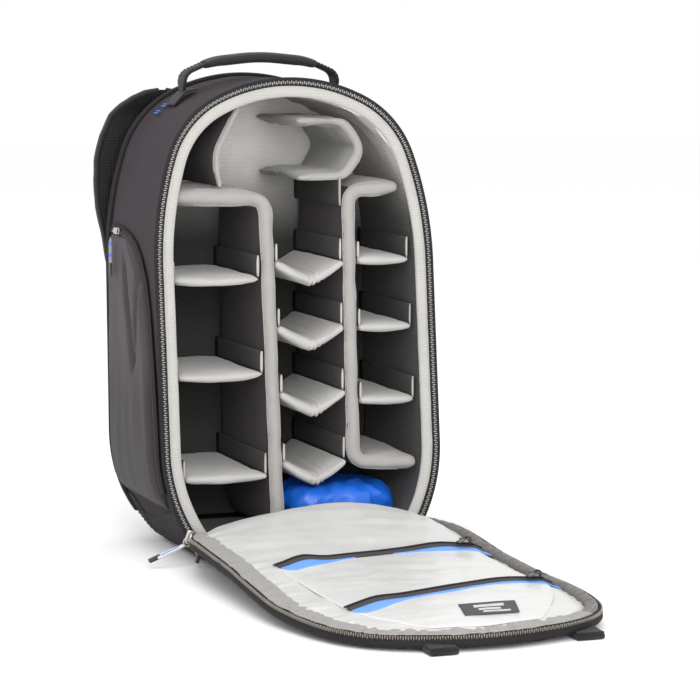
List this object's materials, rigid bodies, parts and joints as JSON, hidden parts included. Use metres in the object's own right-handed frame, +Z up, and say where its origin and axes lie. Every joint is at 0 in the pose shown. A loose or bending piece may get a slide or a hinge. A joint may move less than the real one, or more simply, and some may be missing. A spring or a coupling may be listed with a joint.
{
  "type": "camera backpack",
  "caption": "Upright padded camera backpack with its front lid unzipped and folded down, showing padded dividers, shelves and cradles.",
  "frame": {"origin": "on the underside of the base, in the middle of its front edge, just behind the lid's hinge", "axes": "+Z up, the opening faces -Y and the lid lies towards -Y, +X to the right of someone facing the opening"},
  "size_m": [0.3344, 0.737, 0.5116],
  "materials": {
    "charcoal_fabric": "matte woven polyester",
    "boot_fabric": "ribbed abrasion cloth",
    "back_fabric": "matte woven polyester",
    "frame_plastic": "smooth sheet",
    "foam": "closed-cell foam",
    "grey_lining": "fine brushed knit",
    "zip_tape": "woven tape",
    "zip_coil": "silvered coil",
    "binding": "folded binding tape",
    "piping": "covered cord",
    "air_mesh": "spacer mesh",
    "webbing": "ribbed webbing",
    "grip_fabric": "stitched padded webbing",
    "buckle_plastic": "moulded acetal",
    "slider_metal": "plated die casting",
    "silver_cord": "braided cord with moulded end",
    "dark_pull": "moulded pull",
    "divider_fabric": "brushed loop knit over foam",
    "blue_fabric": "coated ripstop nylon",
    "pocket_panel": "thin translucent coated cloth",
    "label_cloth": "woven label"
  },
  "bodies": {
    "bag": {"base_boot": "boot_fabric", "side_gusset": "charcoal_fabric", "back_panel": "back_fabric", "frame_sheet": "frame_plastic", "wall_foam": "foam", "back_lining": "grey_lining", "wall_lining": "grey_lining", "body_zip_tape": "zip_tape", "body_zip_coil": "zip_coil", "rim_binding": "binding", "back_piping": "piping", "left_side_pocket": "charcoal_fabric", "right_side_pocket": "charcoal_fabric", "side_pocket_zips": "zip_tape", "back_pads": "air_mesh", "shoulder_straps": "air_mesh", "strap_webbings": "webbing", "ladder_buckles": "buckle_plastic", "main_zip_sliders": "slider_metal", "side_pocket_sliders": "slider_metal"},
    "lid": {"lid_shell": "charcoal_fabric", "lid_padding": "foam", "lid_lining": "grey_lining", "lid_zip_tape": "zip_tape", "lid_zip_coil": "zip_coil", "lid_binding": "binding", "lid_hinge_strip": "charcoal_fabric", "lid_pocket_zips": "zip_tape", "lid_pocket_trims": "blue_fabric", "lid_mesh_pocket": "pocket_panel", "lid_flat_pocket": "pocket_panel", "lid_label": "label_cloth", "lid_webbing_tabs": "webbing"},
    "grab_handle": {"grab_handle_webbing": "webbing", "grab_handle_grip": "grip_fabric"},
    "sternum_strap": {"sternum_webbing": "webbing", "sternum_buckle": "buckle_plastic"},
    "main_pull_silver": {"main_pull_silver": "silver_cord"},
    "main_pull_dark": {"main_pull_dark": "dark_pull"},
    "left_pocket_pull": {"left_pocket_pull": "silver_cord"},
    "right_pocket_pull": {"right_pocket_pull": "silver_cord"},
    "upper_lid_slider": {"upper_lid_slider": "slider_metal"},
    "upper_lid_pull": {"upper_lid_pull": "dark_pull"},
    "lower_lid_slider": {"lower_lid_slider": "slider_metal"},
    "lower_lid_pull": {"lower_lid_pull": "dark_pull"},
    "left_long_divider": {"left_long_divider": "divider_fabric"},
    "right_long_divider": {"right_long_divider": "divider_fabric"},
    "crown_left_divider": {"crown_left_divider": "divider_fabric"},
    "crown_folded_divider": {"crown_folded_divider": "divider_fabric"},
    "left_shelf_1": {"left_shelf_1": "divider_fabric"},
    "left_shelf_2": {"left_shelf_2": "divider_fabric"},
    "left_shelf_3": {"left_shelf_3": "divider_fabric"},
    "centre_cradle_1": {"centre_cradle_1": "divider_fabric"},
    "centre_cradle_2": {"centre_cradle_2": "divider_fabric"},
    "centre_cradle_3": {"centre_cradle_3": "divider_fabric"},
    "centre_cradle_4": {"centre_cradle_4": "divider_fabric"},
    "right_shelf_1": {"right_shelf_1": "divider_fabric"},
    "right_shelf_2": {"right_shelf_2": "divider_fabric"},
    "right_shelf_3": {"right_shelf_3": "divider_fabric"},
    "rain_cover": {"rain_cover": "blue_fabric"}
  },
  "joints": [
    {"name": "lid_hinge", "type": "hinge", "parent": "bag", "child": "lid", "pos_m": [0, -0.007, 0.021], "axis": [-1, 0, 0], "range_deg": [0, 96.4]},
    {"name": "grab_handle_fold", "type": "hinge", "parent": "bag", "child": "grab_handle", "pos_m": [0, 0.15, 0.482], "axis": [1, 0, 0], "range_deg": [-25, 25]},
    {"name": "sternum_strap_height", "type": "slide", "parent": "bag", "child": "sternum_strap", "axis": [0, 0, 1], "range_m": [-0.02, 0.02]},
    {"name": "main_pull_silver_swing", "type": "hinge", "parent": "bag", "child": "main_pull_silver", "pos_m": [-0.1315, -0.005, 0.023], "axis": [0, -1, 0], "range_deg": [-75, 0]},
    {"name": "main_pull_dark_swing", "type": "hinge", "parent": "bag", "child": "main_pull_dark", "pos_m": [-0.1195, -0.0135, 0.0215], "axis": [0, -1, 0], "range_deg": [-60, 0]},
    {"name": "left_pocket_pull_swing", "type": "hinge", "parent": "bag", "child": "left_pocket_pull", "pos_m": [-0.1605, 0.158, 0.3205], "axis": [0, -1, 0], "range_deg": [-80, 0]},
    {"name": "right_pocket_pull_swing", "type": "hinge", "parent": "bag", "child": "right_pocket_pull", "pos_m": [0.1605, 0.158, 0.3205], "axis": [0, 1, 0], "range_deg": [-80, 0]},
    {"name": "upper_lid_zip_run", "type": "slide", "parent": "lid", "child": "upper_lid_slider", "axis": [0.9613, 0.2756, 0], "range_m": [-0.2, 0]},
    {"name": "upper_lid_pull_flip", "type": "hinge", "parent": "upper_lid_slider", "child": "upper_lid_pull", "pos_m": [0.10882, -0.16323, 0.0286], "axis": [0.7193, -0.6947, 0], "range_deg": [-170, 0]},
    {"name": "lower_lid_zip_run", "type": "slide", "parent": "lid", "child": "lower_lid_slider", "axis": [0.9636, 0.2672, 0], "range_m": [-0.18, 0]},
    {"name": "lower_lid_pull_flip", "type": "hinge", "parent": "lower_lid_slider", "child": "lower_lid_pull", "pos_m": [0.11575, -0.31797, 0.0286], "axis": [0.7133, -0.7009, 0], "range_deg": [-170, 0]},
    {"name": "left_long_divider_slide_out", "type": "slide", "parent": "bag", "child": "left_long_divider", "axis": [0, 1, 0], "range_m": [-0.03, 0]},
    {"name": "right_long_divider_slide_out", "type": "slide", "parent": "bag", "child": "right_long_divider", "axis": [0, 1, 0], "range_m": [-0.14, 0]},
    {"name": "crown_left_divider_slide_out", "type": "slide", "parent": "bag", "child": "crown_left_divider", "axis": [0, 1, 0], "range_m": [-0.14, 0]},
    {"name": "crown_folded_divider_slide_out", "type": "slide", "parent": "bag", "child": "crown_folded_divider", "axis": [0, 1, 0], "range_m": [-0.14, 0]},
    {"name": "left_shelf_1_slide_out", "type": "slide", "parent": "bag", "child": "left_shelf_1", "axis": [0, 1, 0], "range_m": [-0.14, 0]},
    {"name": "left_shelf_2_slide_out", "type": "slide", "parent": "bag", "child": "left_shelf_2", "axis": [0, 1, 0], "range_m": [-0.14, 0]},
    {"name": "left_shelf_3_slide_out", "type": "slide", "parent": "bag", "child": "left_shelf_3", "axis": [0, 1, 0], "range_m": [-0.14, 0]},
    {"name": "centre_cradle_1_slide_out", "type": "slide", "parent": "bag", "child": "centre_cradle_1", "axis": [0, 1, 0], "range_m": [-0.14, 0]},
    {"name": "centre_cradle_2_slide_out", "type": "slide", "parent": "bag", "child": "centre_cradle_2", "axis": [0, 1, 0], "range_m": [-0.14, 0]},
    {"name": "centre_cradle_3_slide_out", "type": "slide", "parent": "bag", "child": "centre_cradle_3", "axis": [0, 1, 0], "range_m": [-0.14, 0]},
    {"name": "centre_cradle_4_slide_out", "type": "slide", "parent": "bag", "child": "centre_cradle_4", "axis": [0, 1, 0], "range_m": [-0.14, 0]},
    {"name": "right_shelf_1_slide_out", "type": "slide", "parent": "bag", "child": "right_shelf_1", "axis": [0, 1, 0], "range_m": [-0.14, 0]},
    {"name": "right_shelf_2_slide_out", "type": "slide", "parent": "bag", "child": "right_shelf_2", "axis": [0, 1, 0], "range_m": [-0.14, 0]},
    {"name": "right_shelf_3_slide_out", "type": "slide", "parent": "bag", "child": "right_shelf_3", "axis": [0, 1, 0], "range_m": [-0.14, 0]},
    {"name": "rain_cover_slide_out", "type": "slide", "parent": "bag", "child": "rain_cover", "axis": [0, 1, 0], "range_m": [-0.03, 0]}
  ]
}
